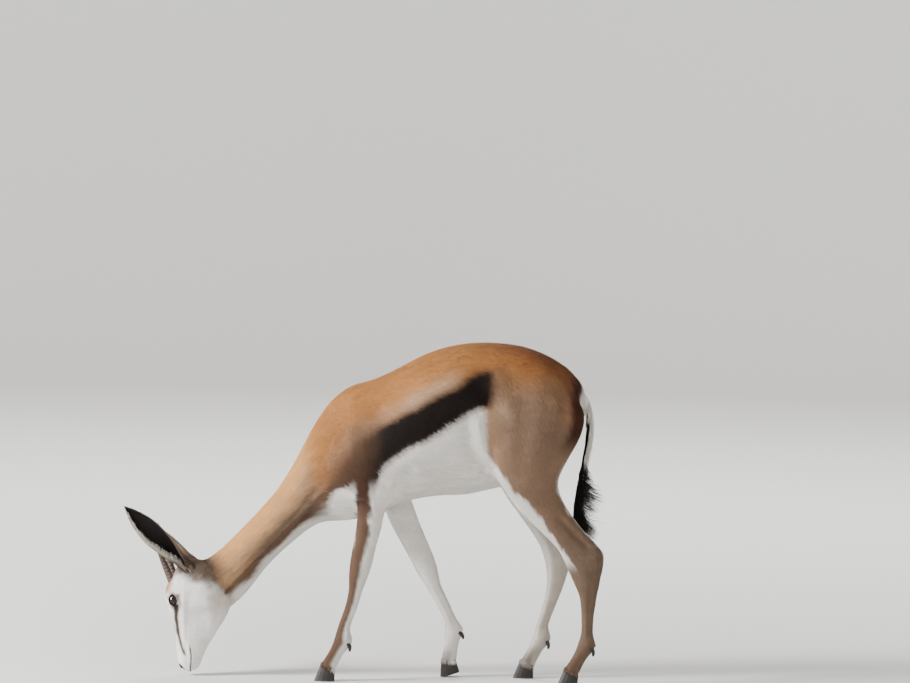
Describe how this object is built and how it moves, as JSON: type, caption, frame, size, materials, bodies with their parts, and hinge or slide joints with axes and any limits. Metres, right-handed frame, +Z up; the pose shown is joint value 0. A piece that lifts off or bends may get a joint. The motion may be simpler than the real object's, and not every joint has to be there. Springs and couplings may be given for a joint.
{
  "type": "springbok",
  "caption": "Life-size still model of a springbok ewe grazing with its head down, in stride, with thin ringed horns and a tufted tail.",
  "frame": {"origin": "on the floor, under the middle of the box round the whole animal", "axes": "+X from the muzzle to the rump, -Y to the animal's left, +Z up"},
  "size_m": [1.0694, 0.2348, 0.7576],
  "materials": {
    "coat": "short, sleek hair, cinnamon above, dark brown at the flank, white below",
    "ear": "short grey-brown hair outside, dark skin inside, pale fringe",
    "tail_hair": "long black hair with white sides at the root",
    "horn": "ringed grey-black horn, smoother at the tip",
    "hoof": "dark, satin hoof horn",
    "eye": "wet, nearly black brown"
  },
  "bodies": {
    "root": {"torso": "coat", "neck": "coat", "head": "coat", "foreleg_left": "coat", "foreleg_right": "coat", "hindleg_left": "coat", "hindleg_right": "coat", "tail": "tail_hair", "ear_left": "ear", "ear_right": "ear", "horn_left": "horn", "horn_right": "horn", "eye_left": "eye", "eye_right": "eye", "foreleg_left_hoof_outer": "hoof", "foreleg_left_hoof_inner": "hoof", "foreleg_right_hoof_outer": "hoof", "foreleg_right_hoof_inner": "hoof", "hindleg_left_hoof_outer": "hoof", "hindleg_left_hoof_inner": "hoof", "hindleg_right_hoof_outer": "hoof", "hindleg_right_hoof_inner": "hoof", "foreleg_left_dewclaw_outer": "hoof", "foreleg_left_dewclaw_inner": "hoof", "foreleg_right_dewclaw_outer": "hoof", "foreleg_right_dewclaw_inner": "hoof", "hindleg_left_dewclaw_outer": "hoof", "hindleg_left_dewclaw_inner": "hoof", "hindleg_right_dewclaw_outer": "hoof", "hindleg_right_dewclaw_inner": "hoof"}
  },
  "joints": []
}
